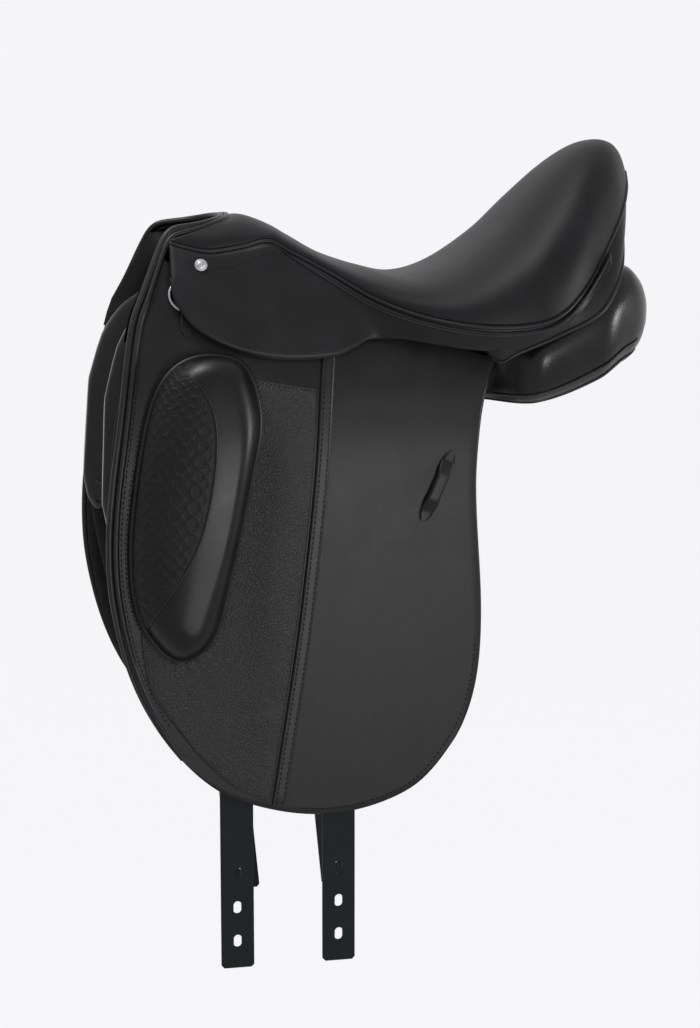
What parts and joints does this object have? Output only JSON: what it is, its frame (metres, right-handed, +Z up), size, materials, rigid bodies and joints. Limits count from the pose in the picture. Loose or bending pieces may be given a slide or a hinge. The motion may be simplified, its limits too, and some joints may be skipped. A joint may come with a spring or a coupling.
{
  "type": "dressage saddle",
  "caption": "Black leather dressage saddle with deep seat, long straight flaps with thigh blocks, lifting skirts over stirrup bars, flocked panels and long girth billets.",
  "frame": {"origin": "on the mid-plane in the gullet, above the horse's spine at the middle of the saddle", "axes": "+X to the cantle, +Y to the off side, +Z up"},
  "size_m": [0.5381, 0.328, 0.7931],
  "materials": {
    "black_leather": "smooth matt black cowhide",
    "seat_leather": "soft smooth black calf",
    "grained_leather": "pebble grained black leather",
    "binding_leather": "rolled and stitched black leather",
    "inlay_leather": "black leather embossed with scrolls",
    "panel_leather": "soft black leather over flocking",
    "billet_leather": "matt greenish black strap leather",
    "lining": "black woven lining",
    "webbing": "woven natural webbing",
    "foam": "pale latex foam",
    "tree_wood": "laminated beech",
    "steel": "forged and ground steel",
    "bright_metal": "polished nickel plate"
  },
  "bodies": {
    "saddle": {"tree_head": "tree_wood", "near_tree_point": "tree_wood", "off_tree_point": "tree_wood", "near_tree_rail": "tree_wood", "off_tree_rail": "tree_wood", "tree_cantle": "tree_wood", "head_plate": "steel", "spring_steels": "steel", "seat_webbing": "webbing", "seat_foam": "foam", "seat_cover": "seat_leather", "seat_welt": "binding_leather", "pommel_binding": "binding_leather", "cantle_facing": "black_leather", "near_skirt_band": "black_leather", "off_skirt_band": "black_leather", "head_nails": "bright_metal", "near_dee_chape": "black_leather", "off_dee_chape": "black_leather", "near_stirrup_bar": "steel", "off_stirrup_bar": "steel", "stirrup_bar_rivets": "steel", "catch_pins": "steel", "near_girth_webs": "webbing", "off_girth_webs": "webbing", "near_panel": "panel_leather", "off_panel": "panel_leather", "gullet_lining": "lining", "near_sweat_flap": "black_leather", "off_sweat_flap": "black_leather", "near_flap_head": "black_leather", "off_flap_head": "black_leather"},
    "near_flap": {"near_flap": "black_leather", "near_flap_grain": "grained_leather", "near_flap_strip": "binding_leather", "near_block": "black_leather", "near_block_inlay": "inlay_leather", "near_keeper": "black_leather"},
    "near_skirt": {"near_skirt": "black_leather"},
    "near_front_billet": {"near_front_billet": "billet_leather"},
    "near_rear_billet": {"near_rear_billet": "billet_leather"},
    "near_dee": {"near_dee": "bright_metal"},
    "near_bar_catch": {"near_bar_catch": "steel"},
    "off_flap": {"off_flap": "black_leather", "off_flap_grain": "grained_leather", "off_flap_strip": "binding_leather", "off_block": "black_leather", "off_block_inlay": "inlay_leather", "off_keeper": "black_leather"},
    "off_skirt": {"off_skirt": "black_leather"},
    "off_front_billet": {"off_front_billet": "billet_leather"},
    "off_rear_billet": {"off_rear_billet": "billet_leather"},
    "off_dee": {"off_dee": "bright_metal"},
    "off_bar_catch": {"off_bar_catch": "steel"}
  },
  "joints": [
    {"name": "near_flap_lift", "type": "hinge", "parent": "saddle", "child": "near_flap", "pos_m": [-0.203, -0.1075, -0.0135], "axis": [-0.9368, 0.0937, 0.3372], "range_deg": [0, 80]},
    {"name": "near_skirt_lift", "type": "hinge", "parent": "saddle", "child": "near_skirt", "pos_m": [-0.152, -0.09477, 0.02706], "axis": [-0.9606, 0.0801, 0.266], "range_deg": [0, 105]},
    {"name": "near_front_billet_swing", "type": "hinge", "parent": "saddle", "child": "near_front_billet", "pos_m": [-0.197, -0.1102, -0.16], "axis": [0, 1, 0], "range_deg": [-3.5, 8]},
    {"name": "near_rear_billet_swing", "type": "hinge", "parent": "saddle", "child": "near_rear_billet", "pos_m": [-0.097, -0.1102, -0.16], "axis": [0, 1, 0], "range_deg": [-8, 3.5]},
    {"name": "near_dee_swing", "type": "hinge", "parent": "saddle", "child": "near_dee", "pos_m": [-0.2365, -0.0825, 0.03971], "axis": [0, 0.3831, 0.9237], "range_deg": [0, 12]},
    {"name": "near_bar_catch_flip", "type": "hinge", "parent": "saddle", "child": "near_bar_catch", "pos_m": [-0.138, -0.07944, 0.02968], "axis": [0, -0.9262, 0.377], "range_deg": [0, 90]},
    {"name": "off_flap_lift", "type": "hinge", "parent": "saddle", "child": "off_flap", "pos_m": [-0.203, 0.1075, -0.0135], "axis": [0.9368, 0.0937, -0.3372], "range_deg": [0, 80]},
    {"name": "off_skirt_lift", "type": "hinge", "parent": "saddle", "child": "off_skirt", "pos_m": [-0.152, 0.09477, 0.02706], "axis": [0.9606, 0.0801, -0.266], "range_deg": [0, 105]},
    {"name": "off_front_billet_swing", "type": "hinge", "parent": "saddle", "child": "off_front_billet", "pos_m": [-0.197, 0.1102, -0.16], "axis": [0, 1, 0], "range_deg": [-1, 8]},
    {"name": "off_rear_billet_swing", "type": "hinge", "parent": "saddle", "child": "off_rear_billet", "pos_m": [-0.097, 0.1102, -0.16], "axis": [0, 1, 0], "range_deg": [-6, 5]},
    {"name": "off_dee_swing", "type": "hinge", "parent": "saddle", "child": "off_dee", "pos_m": [-0.2365, 0.0825, 0.03971], "axis": [0, 0.3831, -0.9237], "range_deg": [0, 12]},
    {"name": "off_bar_catch_flip", "type": "hinge", "parent": "saddle", "child": "off_bar_catch", "pos_m": [-0.138, 0.07944, 0.02968], "axis": [0, -0.9262, -0.377], "range_deg": [0, 90]}
  ]
}
